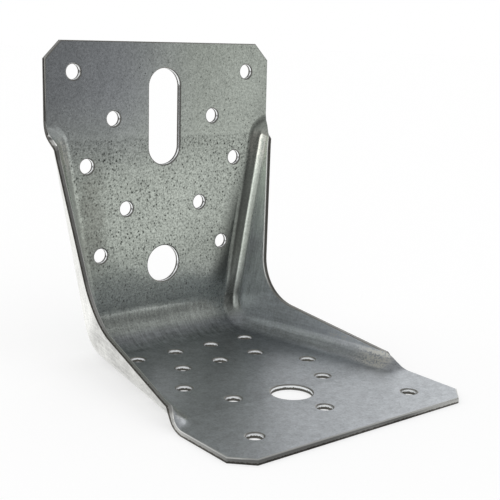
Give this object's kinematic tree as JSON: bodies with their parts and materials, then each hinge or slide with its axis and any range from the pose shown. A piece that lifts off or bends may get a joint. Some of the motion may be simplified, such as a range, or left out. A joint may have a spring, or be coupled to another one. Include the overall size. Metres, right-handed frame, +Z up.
{
  "type": "angle bracket",
  "caption": "Pressed sheet-steel angle bracket with side gussets running round the inside of the bend, nail and bolt holes in each leg and a slot in the upright.",
  "frame": {"origin": "centre of the bounding box at the underside of the base leg", "axes": "+X across the legs, +Y towards the back face of the upright leg, +Z up along the upright leg"},
  "size_m": [0.09, 0.1058, 0.105],
  "materials": {
    "galvanised_steel": "zinc-coated sheet, fine grey spangle with small dark flecks, bare sheared edges"
  },
  "bodies": {
    "root": {"bracket": "galvanised_steel"}
  },
  "joints": []
}
